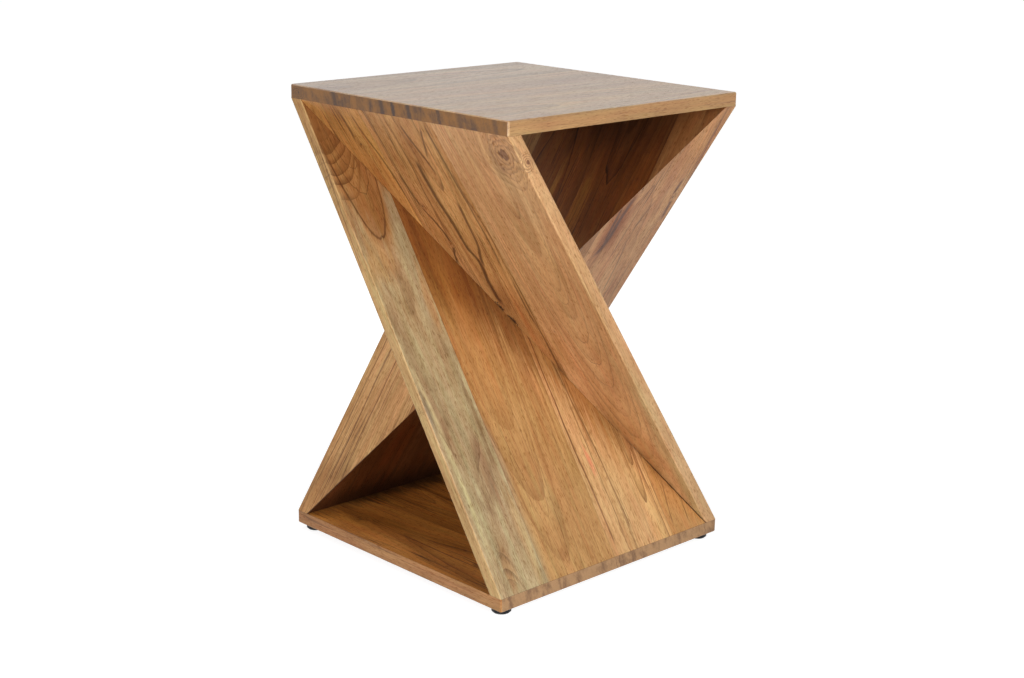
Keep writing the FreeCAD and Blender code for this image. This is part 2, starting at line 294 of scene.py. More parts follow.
# Noises of the wood: the size in millimetres across the grain, along it and through the board, what is added
# to the stave's seed, the detail and the roughness
NOISES = {
    "slow": (80, 420, 80, 0, 1, 0.5),
    "middle": (22, 130, 22, 11, 1, 0.5),
    "quick": (5, 42, 5, 23, 2, 0.5),
    "fade": (30, 160, 30, 37, 1, 0.5),
    "hairs": (1.9, 150, 1.9, 97, 2, 0.6),
    "bunches": (17, 330, 17, 101, 1, 0.5),
    "strands": (2.6, 90, 2.6, 43, 2, 0.65),
    "fibres": (0.9, 30, 0.9, 41, 2, 0.6),
    "grit": (1.7, 12, 1.7, 113, 2, 0.7),
    "clouds": (34, 90, 34, 53, 2, 0.6),
    "golden": (9, 120, 9, 127, 2, 0.6),
    "pores": (0.8, 8, 0.8, 61, 0, 0.5),
    "sap_bands": (13, 240, 13, 71, 2, 0.55),
    "sap_waves": (5, 24, 5, 73, 3, 0.65),
    "sap_smoke": (20, 60, 20, 79, 2, 0.6),
    "crack_flecks": (1.6, 2.4, 1.6, 107, 1, 0.5),
    "end_bands": (15, 500, 24, 83, 3, 0.65),
    "end_lines": (1.6, 500, 26, 89, 1, 0.5),
    "end_dots": (0.8, 500, 0.8, 109, 1, 0.5),
}
SEED_SHIFT = (3.17, 1.73, 5.41)

# The share of a surface's normal that runs along the grain where it starts to be, and is, an end of the grain
END_FACING = (0.75, 0.95)

# A knot's rings over its radius, and what its height along the grain, or through an end, is multiplied by
KNOT_RINGS, FACE_STRETCH, END_STRETCH = 4.6, 0.75, 1.6

# Millimetres from the face to where the painted shade of the board's inner side, with its few lighter tones,
# starts and is full
INNER_SIDE = (7, 12)

# The crease opens on its way down: millimetres from the crossing, and how dark it is before and after
CREASE_OPENS, CREASE_DARK = (220, 300), (0.14, 0.85)

# A glue line fades over these millimetres. Its darkness between staves, and between a panel and a plate
STAVE_LINE, STAVE_DARK = (0.1, 0.45), 0.45
PLATE_LINE, PLATE_DARK = (0.15, 0.6), 0.55
INK = (0.06, 0.025, 0.012)

# Depth of the lacquered pores, in metres, and the wood's index of refraction
PORE_DEPTH, REFRACTION = 0.0003, 1.5

# What a stave has where its own figure doesn't say otherwise. lines, contrast and hair are the strength of
# its fine lines, rings and hairs, grain that of the fine texture, and relief that of the pores. warp is how
# many millimetres the slow, middle and quick ripples push the rings.
PLAIN = dict(
    lines=0.6, contrast=1.0, hair=0.4, warp=(14, 3, 0.8), grain=1.0, relief=0.4, gloss=0.38, shine=0.25,
    sap=None, margin=None, hollow=None, ends=None, rings=(), knots=(), veins=(), arches=(), patches=(),
    stains=(), bars=(), cracks=(),
)


class Wood(Finish):
    """Acacia of one stave, with growth rings about the trunk's pith and figure placed over them.

    A figure's light, dark and line are the tones between its rings, in them and of its thin lines. Its pith
    is a place across the board, a depth under the face and a slope, and spacing is a growth ring's width.
    Marks are thin dark lines, and shade is the broad change from light to dark; both go from 0 to 1.
    """

    def __init__(self, name, edges, figure):
        super().__init__(name)
        self.figure = SimpleNamespace(**{**PLAIN, **figure})
        self.lay_on_board()
        self.push_round_knots()
        self.grow_rings()
        self.place_rings()
        self.place_veins()
        self.place_arches()
        self.mark_knots()
        self.spread_heartwood()
        self.spread_sapwood()
        self.place_patches()
        self.tint_margins()
        self.gap = 0.0
        self.part_staves(edges)
        if self.figure.lie not in ("top", "base"):
            self.part_panels()
        self.colour = self.mix(self.smaller(self.marks, 0.92), self.colour, self.figure.line)
        self.colour = self.mix(self.gap, self.colour, INK)
        self.vary_tone()
        self.cut_ends()
        self.lacquer()

    def ripple(self, word, vector):
        """One of the wood's noises, moved by the stave's own seed."""
        across, along, deep, apart, detail, roughness = NOISES[word]
        shift = [(self.figure.seed + apart) * share for share in SEED_SHIFT]
        return self.noise(self.scaled(vector, (1 / across, 1 / along, 1 / deep), shift), detail, roughness)

    def mark(self, value):
        self.marks = self.larger(self.marks, value)

    def darken(self, value):
        self.shade = self.larger(self.shade, value)

    def part(self, value):
        self.gap = self.larger(self.gap, value)

    def tint(self, amount, tone):
        """Lays a tone over the wood that keeps the streaks of the grain."""
        self.colour = self.mix(amount, self.colour, self.mix(1.0, tone, self.streaks, "MULTIPLY"))

    def lay_on_board(self):
        """Millimetres along the board's directions, whether the surface is an end, and three ripples."""
        origin, across, along, deep = LIES[self.figure.lie]
        turn = Matrix((across, along, deep))
        self.place = self.here()
        self.lengths = self.scaled(self.place, (MILLIMETRES,) * 3, turn @ Vector(origin) * -MILLIMETRES)
        self.lengths.node.inputs["Rotation"].default_value = turn.to_euler()
        self.s, self.t, self.n = self.split(self.lengths)
        facing = self.dot(self.node("NewGeometry").outputs["True Normal"], along)
        self.ended = self.step(self.absolute(facing), *END_FACING)
        self.slow, self.middle, self.quick = (
            self.ripple(word, self.lengths) for word in ("slow", "middle", "quick")
        )

    def push_round_knots(self):
        """Lets knots push the grain aside, and gives each an eye with rings of its own."""
        self.moved = self.s + self.slow * self.figure.warp[0]
        self.eyes = []
        for kind, first, second, radius, depth in self.figure.knots:
            aside = (self.n if kind == "edge" else self.s) - first
            beside = (self.n if kind == "end" else self.t) - second
            beside = beside * (END_STRETCH if kind == "end" else FACE_STRETCH)
            reach = self.distance(aside, beside) + self.middle * radius * 0.9 + self.quick * radius * 0.45
            if kind == "face":
                self.moved = self.moved - aside * self.bell(reach, radius * 1.3) * 0.8
            part = self.whole_and_part(reach / (radius / KNOT_RINGS))[1]
            ringed = self.tooth(part, 0.25, 0.85, 0.9)
            inside = self.fall(reach, radius * 0.7, radius * 1.2)
            core = self.fall(reach, radius * 0.08, radius * 0.34)
            if kind == "edge":
                inside = inside * self.fall(self.s, 0.5, 2.5)
            if kind == "end":
                inside = inside * self.ended
            self.eyes.append((inside, ringed, core, depth))
        self.flow = self.join(self.moved + self.middle * self.figure.warp[1], self.t, self.n)

    def grow_rings(self):
        """Growth rings about the pith, each with late wood and some with a fine dark line, and dark hairs."""
        figure = self.figure
        pith_s, pith_depth, pith_slope = figure.pith
        self.sideways = self.moved - pith_s
        self.inwards = self.t * pith_slope + self.n + pith_depth
        self.round_pith = self.distance(self.sideways, self.inwards)
        self.radial = self.round_pith + self.middle * figure.warp[1] + self.quick * figure.warp[2]
        count = self.radial / figure.spacing
        count = count + self.noise_of(count * 0.45 + figure.seed) * 1.6
        number, part = self.whole_and_part(count)
        luck = self.chance(number + figure.seed)
        self.late = self.tooth(part, 0.25, 0.93, 0.95)
        fine = self.tooth(part, 0.84, 0.94, 0.96) * self.power(luck, 3.0)
        broad = self.noise_of(self.radial / (figure.spacing * 3.2) + figure.seed * 2.0, 2)
        broad = self.step(broad, -0.22, 0.22)
        self.fade = self.step(self.ripple("fade", self.lengths), -0.14, 0.12)
        late_shade = self.late * (luck * 0.5 + 0.12) * (self.fade * 0.5 + 0.5)
        self.shade = (broad * 0.6 + late_shade) * figure.contrast
        self.marks = fine * (self.fade * 0.8 + 0.2) * figure.lines
        hairs = self.step(self.ripple("hairs", self.flow), 0.05, 0.15)
        bunches = self.step(self.ripple("bunches", self.flow), -0.08, 0.12)
        self.mark(hairs * (bunches * 0.85 + 0.15) * figure.hair)

    def place_rings(self):
        """Strong growth rings, by radius and stretch of the grain."""
        if not self.figure.rings:
            return
        slant = self.distance(self.sideways, self.inwards * self.figure.pith[2]) / self.round_pith + 0.04
        for radius, width, strength, low, high in self.figure.rings:
            past = self.radial - radius
            line = self.fall(self.absolute(past) / slant, width * 0.2, width * 1.2, strength)
            soft = self.step(past, self.figure.spacing * -1.3, 0.0) * self.fall(past, 0.0, 0.6)
            self.darken(soft * strength * 0.7 * self.step(self.t, low, low + 25))
            self.mark(line * self.between(self.t, low, high, 25, 60) * (self.fade * 0.35 + 0.65))

    def place_veins(self):
        """Dark veins through given points, each a t and an s."""
        for points, width, strength in self.figure.veins:
            low, high = min(point[0] for point in points), max(point[0] for point in points)
            off = self.absolute(self.s + self.middle * 6 + self.quick * 2.5 - self.curve(self.t, points))
            line = self.fall(off, width * 0.4, width * 1.9, strength)
            soft = self.fall(off, width * 0.5, width * 4.5, strength * 0.4)
            length = self.between(self.t, low, high, 18, 18)
            self.mark(line * length * (self.fade * 0.2 + 0.8))
            self.darken(soft * length)

    def place_arches(self):
        """Nested arches of flat-sawn wood, above one another from the first one's tip."""
        for tip_s, tip_t, wide, tall, rows, strength in self.figure.arches:
            aside = self.absolute(self.s - tip_s + self.slow * 30 + self.middle * 5) / wide
            level = (self.t - tip_t + self.slow * 70 + self.middle * 9 + self.quick * 1.5) / tall
            level = level - self.power(aside, 2.4)
            inside = self.step(level, -0.05, 0.03) * self.fall(level, rows * 0.5, rows)
            level = level + self.noise_of(level * 0.9 + self.figure.seed) * 0.7
            part = self.whole_and_part(level)[1]
            self.mark(self.fall(part, 0.05, 0.22, strength * 0.45) * inside)
            self.shade = self.shade + (self.fall(part, 0.1, 0.9) - self.shade) * inside * strength

    def mark_knots(self):
        for inside, ringed, core, depth in self.eyes:
            self.marks = self.marks + inside * ((ringed * 0.7 + core) * depth - self.marks)
            self.darken(inside * depth * 0.6)

    def spread_heartwood(self):
        """The colour between light and dark, and the streaks that every tint keeps."""
        self.strands, self.fibres, self.grit = (
            self.ripple(word, self.flow) for word in ("strands", "fibres", "grit")
        )
        self.clouds = self.ripple("clouds", self.lengths)
        amount = self.capped(self.shade + self.strands * 1.1)
        self.colour = self.mix(amount, self.figure.light, self.figure.dark)
        amount = self.capped(self.shade + self.strands * 1.6)
        self.streaks = self.mix(amount, (1.35, 1.4, 1.4), (0.62, 0.56, 0.52))

    def spread_sapwood(self):
        """Pale sapwood with grey bands, waves and smoke."""
        if not self.figure.sap:
            return
        pale, tan, mask_of = self.figure.sap
        mask = mask_of(self)
        bands = self.step(self.ripple("sap_bands", self.flow), -0.09, 0.11)
        waves = self.fall(self.absolute(self.ripple("sap_waves", self.lengths) + bands * 0.1), 0.0, 0.03)
        smoke = self.step(self.ripple("sap_smoke", self.lengths), -0.02, 0.22)
        grey = bands * 0.4 + waves * 0.45 + smoke * 0.5 + self.strands * 1.2 + self.shade * 0.3
        self.colour = self.mix(mask, self.colour, self.mix(self.capped(grey), pale, tan))
        self.marks = self.marks * (1.0 - mask * 0.6)

    def spot(self, s, t, wide, tall, strength):
        """A soft-edged oval, with its half width and half height."""
        aside = (self.s - s + self.slow * 30 + self.middle * 14) / wide
        beside = (self.t - t + self.quick * 60) / tall
        return self.fall(self.distance(aside, beside), 0.35, 1.1, strength)

    def place_patches(self):
        """Tinted ovals through the board, and ovals of painted shade, with a few lighter tones, on its inner
        side alone.
        """
        for *oval, tone, strength in self.figure.patches:
            self.tint(self.spot(*oval, strength), tone)
        inner = self.step(self.absolute(self.n), *INNER_SIDE)
        # Painted shade on the board's inner side, where the plates and wings keep light out, with a few
        # lighter tones in it
        for *oval, tone, strength in self.figure.stains:
            self.tint(self.spot(*oval, strength) * inner, tone)

    def tint_margins(self):
        """A tone of its own along the board's long edges, in part a painted difference in light between the
        edge and the face.
        """
        if self.figure.margin:
            tone, strength, width = self.figure.margin
            rim = self.smaller(self.s, BOARD_WIDTH - self.s)
            self.colour = self.mix(self.fall(rim + self.quick * 2, 0.4, width, strength), self.colour, tone)

    def part_staves(self, edges):
        """Glue lines at the stave's edges, apart from the board's own edges."""
        for edge in edges:
            if 1 < edge < BOARD_WIDTH - 1:
                self.part(self.fall(self.absolute(self.s - edge), *STAVE_LINE, STAVE_DARK))

    def from_crossing(self, direction):
        """Millimetres from the middle of the crossing along a direction."""
        return self.dot(self.place, direction * MILLIMETRES) - CROSSING.dot(direction) * MILLIMETRES

    def part_panels(self):
        """The open crease between the wing's panels, the painted shade beside it, its cracks, and the plates'
        joints.
        """
        side = 1 if self.figure.lie.startswith("front") else -1
        level = Vector((side, -side, 0)).normalized()
        off = self.absolute(self.from_crossing(level * CREASE_FALL + UP * CREASE_LEVEL))
        down = self.from_crossing(level * CREASE_LEVEL - UP * CREASE_FALL)
        # Painted shade beside the crease, where the upper panel's overhang keeps light off, over wood that is
        # partly darker
        if self.figure.hollow:
            tone, strength, reach, low, high = self.figure.hollow
            shaded = self.fall(off + self.middle * 20 + self.strands * 60, reach * 0.2, reach, strength)
            self.tint(shaded * self.fall(down, low, high), tone)
        opened = self.step(down, *CREASE_OPENS, *CREASE_DARK)
        self.part(self.fall(off + self.quick * 0.8, 0.35, 1.0) * opened)
        from_plate = self.absolute(self.absolute(self.from_crossing(UP)) - PLATE_REACH)
        self.part(self.fall(from_plate, *PLATE_LINE, PLATE_DARK))
        for place, length, width in self.figure.cracks:
            aside = (off + self.quick * 5.0 - 0.4) / width
            split = self.distance((down - place) / length, aside)
            split = split + self.ripple("crack_flecks", self.lengths) * 2.6
            self.part(self.fall(split, 0.75, 0.95))

    def vary_tone(self):
        """Fine texture. Tone varies more in blue than in red, so dark wood is redder wood."""
        self.pores = self.step(self.ripple("pores", self.flow), 0.11, 0.2)
        texture = self.strands * 0.9 + self.grit * 0.55 + self.fibres * 0.5 + self.clouds * 0.9
        bright = (texture * self.figure.grain + 1.0) * (1.0 - self.pores * 0.35)
        bright = self.larger(bright, 0.2)
        golden = self.ripple("golden", self.flow) * 0.45 + 1.0
        toned = self.node("CombineColor")
        for socket, depth, tint in zip(toned.inputs, (0.85, 1.15, 1.5), (1.0, golden, golden)):
            self.feed(socket, self.power(bright, depth) * tint)
        self.colour = self.mix(1.0, self.colour, toned.outputs[0], "MULTIPLY")

    def cut_ends(self):
        """End grain: streaks across the board's thickness instead of along it."""
        if not self.figure.ends:
            return
        tilted = self.join(self.s + self.n * 0.35 + self.slow * 30, self.t, self.n)
        cut = self.step(self.ripple("end_bands", tilted), -0.1, 0.2) * 0.7
        cut = cut + self.step(self.ripple("end_lines", tilted), 0.0, 0.2) * 0.14 + self.late * 0.06
        for place, width, strength in self.figure.bars:
            beside = self.absolute(self.s - place + self.n * 0.3 + self.quick * 6)
            cut = self.larger(cut, self.fall(beside, width * 0.1, width, strength))
        for inside, ringed, core, depth in self.eyes:
            cut = cut + inside * ((ringed * 0.8 + core * 0.4 + 0.1) * depth - cut)
        dots = self.step(self.ripple("end_dots", self.lengths), 0.05, 0.2)
        cut = self.smaller(cut + dots * 0.25, 1.0)
        seams = self.smaller(cut + self.gap * 0.8, 1.0)
        self.colour = self.mix(self.ended, self.colour, self.mix(seams, *self.figure.ends))

    def lacquer(self):
        """Satin lacquer over pores and fibres."""
        rough = self.fibres * 0.16 + self.pores * 0.18 + self.ended * 0.12 + self.clouds * 0.1
        rough = rough + self.figure.gloss
        height = self.fibres * 0.5 + self.strands * 0.3 - self.pores * 0.7
        height = height - self.marks * 0.35 - self.gap * 1.5
        plain = (("IOR", REFRACTION), ("Specular IOR Level", self.figure.shine))
        self.surface(self.colour, rough, plain, (height, self.figure.relief, PORE_DEPTH))


def dress(node, material):
    """Gives a CAD node its finished material."""
    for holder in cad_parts[node].material_slots:
        holder.material = material


def sapwood_outside(edge, soft=4):
    """Sapwood past a ring of the given radius."""
    def mask(wood):
        return wood.step(wood.radial + wood.middle * 10 + wood.quick * 3, edge - soft, edge + soft)
    return mask


def sapwood_before(edge, low, high, soft=6):
    """Sapwood between the free edge and s, over a stretch of the grain."""
    def mask(wood):
        side = wood.fall(wood.s + wood.middle * 30 + wood.quick * 8, edge - soft, edge + soft)
        return side * wood.step(wood.t, low - 60, low + 20) * wood.fall(wood.t, high - 20, high + 60)
    return mask


# Tones of the lacquered wood; the darkest of the first three is only used for painted shade.
BROWN, UMBER, SHADE_NUT = (0.30, 0.125, 0.042), (0.22, 0.078, 0.020), (0.11, 0.030, 0.008)
SAP, SAP_DARK = (0.455, 0.343, 0.180), (0.270, 0.175, 0.086)

# What the staves of the top and of the base share. Their ends are the light and dark of the end grain.
TOP = dict(
    lie="top", gloss=0.31, shine=0.62, relief=0.12, grain=0.65,
    ends=((0.205, 0.082, 0.010), (0.028, 0.009, 0.002)),
)
BASE = dict(
    lie="base", spacing=5.5, warp=(16, 3, 0.8), shine=0.3,
    ends=((0.45, 0.260, 0.125), (0.18, 0.094, 0.048)),
)

# The tone of a plate's long edges, its strength and its width
TOP_RIM = ((0.352, 0.171, 0.046), 0.8, 1.4)
BASE_RIM = ((0.375, 0.188, 0.076), 0.8, 1.4)

# Shaded ovals that several staves share
BASE_SHADOW = (200, 398, 260, 56, (0.045, 0.015, 0.004), 0.96)
WING_SHADOW = (300, 50, 320, 240, SHADE_NUT, 0.9)
FOOT_SHADOW = (250, 0, 320, 66, (0.03, 0.01, 0.004), 0.85)

# The staves' figure, placed in millimetres of s and t:
# A ring has a radius, a width, a strength and the stretch of the grain where it shows.
# A knot has a kind, two places, a radius and a strength. The places are s and t on a face, n and t on an
# edge, and s and n on an end.
# A vein has points, each a t and an s, a width and a strength.
# An arch has its tip, half width, height, number of rows and strength.
# A patch, or an oval of painted shade on the inner side, has its middle, half width, half height, tone and
# strength.
# A bar of the end grain has a place, a width and a strength.
# A crack has a place along the crease, a length and a width.
# The painted shade beside the crease, over partly darker wood, has a tone, a strength, a reach from the
# crease and the stretch over which it ends.
# A margin has a tone, a strength and a width, and sap has two tones and where it lies.
STAVES = {
    "front_upper_stave_1": dict(
        lie="front_upper", seed=3.1, pith=(57, 86, -0.12), spacing=5.2,
        light=(0.635, 0.338, 0.148), dark=(0.41, 0.198, 0.080), line=(0.17, 0.07, 0.035),
        lines=0.6, contrast=0.8, warp=(12, 3, 0.8), hair=0.25, grain=0.75,
        sap=((0.55, 0.38, 0.18), (0.40, 0.235, 0.10), sapwood_before(19, 0, 250, 9)),
        arches=((35, 596, 26, 14, 2.5, 0.3),),
        rings=(
            (56, 0.8, 0.75, 240, 420), (51, 0.7, 0.6, 260, 470), (46, 0.7, 0.45, 300, 520),
            (38, 0.7, 0.4, 360, 600),
        ),
        knots=(
            ("face", 25, 654, 25, 0.75), ("face", 39, 630, 4.5, 1.0), ("face", 80, 590, 1.6, 0.8),
            ("face", 110, 340, 4, 0.5), ("edge", 9, 640, 10, 0.9),
        ),
        patches=(
            (78, 110, 55, 130, (0.35, 0.160, 0.054), 0.75), (45, 300, 20, 80, (0.45, 0.215, 0.085), 0.5),
            (42, 632, 10, 30, (0.28, 0.13, 0.06), 0.6), (50, 470, 34, 90, (0.46, 0.235, 0.095), 0.3),
            (70, 645, 70, 45, (0.42, 0.21, 0.085), 0.5), (30, 590, 40, 60, (0.43, 0.24, 0.11), 0.45),
            (132, 440, 5, 190, (0.36, 0.19, 0.075), 0.4), (110, 474, 16, 55, (0.60, 0.31, 0.135), 0.5),
            (116, 304, 16, 40, (0.40, 0.185, 0.062), 0.6), (34, 55, 30, 55, (0.50, 0.305, 0.145), 0.45),
        ),
        margin=((0.60, 0.345, 0.160), 0.75, 3.0),
    ),
    "front_upper_stave_2": dict(
        lie="front_upper", seed=7.7, pith=(185, 70, -0.05), spacing=6.0,
        light=(0.565, 0.287, 0.102), dark=(0.34, 0.143, 0.046), line=(0.065, 0.025, 0.010),
        lines=0.85, warp=(16, 3, 0.8), hair=0.7,
        veins=(
            ([(680, 199), (640, 190), (609, 181), (590, 176)], 1.7, 0.9),
            ([(680, 158), (650, 168), (615, 179)], 1.4, 0.8),
            ([(620, 205), (560, 206), (510, 201), (470, 200), (440, 191), (400, 196), (360, 188)], 2.7, 0.95),
            ([(560, 166), (520, 169), (480, 174), (450, 184), (430, 188)], 2.2, 0.9),
            ([(590, 259), (540, 254), (500, 238), (470, 231), (440, 239), (420, 243)], 1.8, 0.9),
            ([(430, 141), (380, 143), (320, 141), (260, 142), (240, 143)], 1.5, 0.6),
            ([(684, 150), (600, 148), (520, 146), (440, 150)], 1.2, 0.65),
            ([(684, 225), (600, 222), (540, 226), (480, 220)], 1.1, 0.6),
            ([(614, 143), (582, 145), (541, 142), (500, 137), (460, 139), (400, 137), (330, 139)], 1.1, 0.6),
        ),
        knots=(("face", 247, 529, 5, 0.9), ("face", 140, 534, 5, 0.8), ("face", 232, 466, 5, 0.8)),
        cracks=((-20, 9, 3.2), (6, 10, 3.6)),
        patches=(
            (200, 450, 20, 150, (0.27, 0.105, 0.030), 0.2), (203, 640, 22, 60, (0.31, 0.135, 0.045), 0.7),
            (155, 330, 9, 90, (0.45, 0.15, 0.045), 0.6), (150, 480, 7, 190, (0.54, 0.29, 0.105), 0.6),
            (150, 275, 30, 60, (0.36, 0.150, 0.050), 0.6), (192, 300, 9, 60, (0.56, 0.28, 0.098), 0.6),
            (247, 478, 11, 50, (0.60, 0.30, 0.100), 0.5),
        ),
    ),
    "front_upper_stave_3": dict(
        lie="front_upper", seed=12.4, pith=(330, 60, 0.04), spacing=5.6,
        light=(0.58, 0.275, 0.078), dark=(0.36, 0.150, 0.040), line=(0.075, 0.03, 0.012),
        lines=0.85, hair=0.8,
        veins=(
            ([(684, 292), (650, 289), (600, 277), (560, 272), (500, 268)], 1.6, 0.8),
            ([(684, 318), (650, 312), (620, 314)], 1.5, 0.75),
        ),
        knots=(("face", 306, 623, 6, 0.85), ("face", 372, 668, 6, 0.9)),
        patches=((277, 468, 8, 60, (0.60, 0.30, 0.095), 0.5),),
    ),
    "front_lower_stave_1": dict(
        lie="front_lower", seed=21.3, pith=(38, 100, -0.07), spacing=5.5,
        light=(0.385, 0.178, 0.056), dark=(0.235, 0.094, 0.026), line=(0.085, 0.032, 0.012),
        lines=0.6, contrast=0.95, warp=(12, 3, 0.8), hair=0.3,
        sap=(SAP, SAP_DARK, sapwood_outside(68, 3)),
        rings=(
            (66.5, 1.4, 0.9, 440, 640), (62, 0.8, 0.6, 500, 660), (59, 0.7, 0.5, 540, 684),
            (76, 0.9, 0.5, 400, 560),
        ),
        arches=((16, 538, 22, 17, 6, 0.75), (29, 58, 15, -17, 3, 0.9)),
        knots=(("face", -3, 252, 5, 0.8), ("face", 58, 96, 1.8, 0.8)),
        patches=(
            (32, 30, 14, 42, (0.34, 0.18, 0.075), 0.6), (4, 250, 6, 34, (0.17, 0.12, 0.075), 0.7),
            (77, 240, 5, 60, (0.24, 0.14, 0.065), 0.7), (62, 150, 7, 50, (0.24, 0.14, 0.07), 0.7),
            (66, 575, 22, 40, (0.41, 0.20, 0.068), 0.7), (48, 395, 14, 40, (0.27, 0.17, 0.08), 0.6),
            (30, 650, 60, 50, (0.30, 0.125, 0.042), 0.5), (6, 528, 22, 40, (0.37, 0.205, 0.085), 0.6),
            (4, 560, 20, 30, (0.31, 0.145, 0.050), 0.7), (25, 482, 20, 30, (0.38, 0.195, 0.070), 0.5),
            # The pale streak at (9, 180) near the free edge is a painted highlight
            (9, 180, 5, 130, (0.54, 0.43, 0.22), 0.6), (22, 445, 40, 30, (0.40, 0.222, 0.083), 0.6),
            (58, 165, 14, 60, (0.33, 0.20, 0.105), 0.6), (76, 60, 9, 90, (0.42, 0.25, 0.11), 0.6),
            (74, 390, 6, 60, (0.42, 0.21, 0.08), 0.6),
        ),
        margin=((0.50, 0.30, 0.118), 0.85, 1.5),
    ),
    "front_lower_stave_2": dict(
        lie="front_lower", seed=29.9, pith=(122, 40, -0.05), spacing=6.5,
        light=(0.525, 0.292, 0.109), dark=(0.37, 0.180, 0.058), line=(0.17, 0.06, 0.02),
        lines=0.5, contrast=0.75, warp=(8, 3, 0.8), grain=0.85,
        arches=((118, 8, 30, 95, 2.8, 0.45),),
        rings=((36, 0.9, 0.55, 60, 240), (39, 0.8, 0.5, 0, 200)),
        knots=(("face", 99, 478, 1.8, 1.0), ("face", 87, 283, 1.8, 1.0), ("face", 107, 190, 1.8, 1.0)),
        patches=(
            # The wide dark oval at (130, 455) is painted shade under the upper panel's overhang, over darker
            # wood
            (108, 300, 60, 95, (0.40, 0.175, 0.055), 0.6), (130, 455, 95, 150, (0.215, 0.075, 0.0115), 0.9),
            (186, 262, 14, 45, (0.50, 0.265, 0.105), 0.5), (92, 455, 9, 60, (0.15, 0.05, 0.010), 0.7),
            (80, 50, 12, 120, (0.36, 0.235, 0.115), 0.7), (82, 175, 12, 75, (0.34, 0.21, 0.11), 0.8),
            (135, 95, 12, 45, (0.40, 0.245, 0.095), 0.6),
        ),
        # Painted shade beside the crease
        hollow=((0.20, 0.070, 0.017), 0.85, 34, 30, 200),
    ),
    "front_lower_stave_3": dict(
        lie="front_lower", seed=33.2, pith=(270, 160, 0.0), spacing=4.2,
        light=(0.63, 0.370, 0.163), dark=(0.44, 0.235, 0.088), line=(0.13, 0.045, 0.016),
        lines=0.7, contrast=0.65, warp=(8, 2.5, 0.7), hair=0.45, grain=0.8,
        arches=((292, 25, 9, 70, 1.6, 0.8),),
        veins=(
            ([(330, 208), (250, 210), (160, 209), (80, 213), (10, 212)], 1.1, 0.85),
            ([(280, 232), (200, 240), (120, 246), (20, 250)], 0.9, 0.7),
        ),
        patches=((226, 130, 5, 26, (0.55, 0.17, 0.09), 0.7), (303, 30, 24, 100, (0.52, 0.272, 0.100), 0.6)),
        # Painted shade beside the crease
        hollow=((0.34, 0.150, 0.044), 0.9, 27, 160, 340),
        cracks=((-2, 18, 3.0),),
    ),
    "front_lower_stave_4": dict(
        lie="front_lower", seed=38.6, pith=(350, 120, 0.0), spacing=5.0,
        light=(0.505, 0.250, 0.085), dark=(0.41, 0.195, 0.066), line=(0.13, 0.045, 0.016),
        lines=0.3, contrast=0.35, warp=(8, 2.5, 0.7), hair=0.2, grain=0.6,
        veins=(([(85, 340), (46, 331), (5, 324)], 0.8, 0.7), ([(46, 358), (3, 355)], 0.8, 0.7)),
        # Painted shade beside the crease
        hollow=((0.34, 0.150, 0.044), 0.85, 9, 285, 350),
    ),
    "back_upper_stave_1": dict(
        lie="back_upper", seed=44.0, pith=(-60, 120, 0.02), spacing=4.4,
        light=(0.63, 0.345, 0.140), dark=(0.46, 0.235, 0.089), line=(0.13, 0.05, 0.02),
        lines=1.0, contrast=0.9, warp=(8, 2.5, 0.7), hair=1.0,
        veins=(
            ([(350, 12), (200, 14), (20, 10)], 0.9, 0.8),
            ([(330, 34), (180, 31), (30, 33)], 0.9, 0.8),
            ([(300, 52), (160, 50), (40, 55)], 0.8, 0.7),
        ),
        patches=((45, 25, 90, 80, (0.25, 0.11, 0.035), 0.7),),
    ),
    "back_upper_stave_2": dict(
        lie="back_upper", seed=47.5, pith=(160, 70, 0.05), spacing=5.0,
        light=(0.48, 0.225, 0.075), dark=BROWN, line=(0.03, 0.008, 0.002),
        lines=1.0, hair=0.9,
        knots=(("face", 170, 430, 7, 0.8),),
        # Painted shade inside the upper opening, darkest towards the top plate
        stains=(
            (270, 560, 270, 140, (0.23, 0.065, 0.012), 0.85), (285, 655, 220, 95, (0.06, 0.018, 0.006), 0.75),
            (188, 520, 7, 60, (0.42, 0.18, 0.045), 0.8), (172, 500, 5, 50, (0.40, 0.16, 0.04), 0.6),
        ),
    ),
    "back_upper_stave_3": dict(
        lie="back_upper", seed=51.8, pith=(270, 55, -0.04), spacing=5.6,
        light=(0.42, 0.18, 0.055), dark=UMBER, line=(0.03, 0.008, 0.002),
        lines=1.0, warp=(16, 3, 0.8), hair=0.9,
        # Painted shade inside the upper opening, darkest towards the top plate
        stains=(
            (270, 550, 270, 130, (0.205, 0.056, 0.011), 0.85),
            (290, 650, 200, 95, (0.06, 0.018, 0.006), 0.75), (238, 495, 20, 70, (0.38, 0.145, 0.032), 0.8),
            (212, 575, 7, 60, (0.34, 0.13, 0.03), 0.6), (310, 570, 45, 45, (0.12, 0.034, 0.007), 0.6),
        ),
    ),
    "back_upper_stave_4": dict(
        lie="back_upper", seed=55.1, pith=(420, 90, 0.0), spacing=5.0,
        light=(0.47, 0.23, 0.085), dark=(0.30, 0.13, 0.042), line=(0.13, 0.05, 0.02),
        contrast=0.8, warp=(10, 3, 0.8), hair=0.5,
        # Painted shade under the top plate
        stains=((350, 640, 120, 110, (0.17, 0.058, 0.017), 0.8),),
    ),
    "back_lower_stave_1": dict(
        lie="back_lower", seed=61.2, pith=(70, 90, 0.05), spacing=4.8,
        light=(0.635, 0.330, 0.148), dark=(0.43, 0.200, 0.084), line=(0.11, 0.042, 0.025),
        lines=1.0, warp=(12, 3, 0.8), hair=0.8,
        veins=(
            ([(560, 96), (520, 100), (480, 101), (440, 112)], 3.2, 0.9),
            ([(545, 112), (500, 108), (460, 103)], 1.8, 0.8),
            ([(620, 84), (590, 90), (560, 93)], 2.2, 0.85),
            ([(580, 15), (550, 17), (520, 12), (490, 10)], 2.4, 0.8),
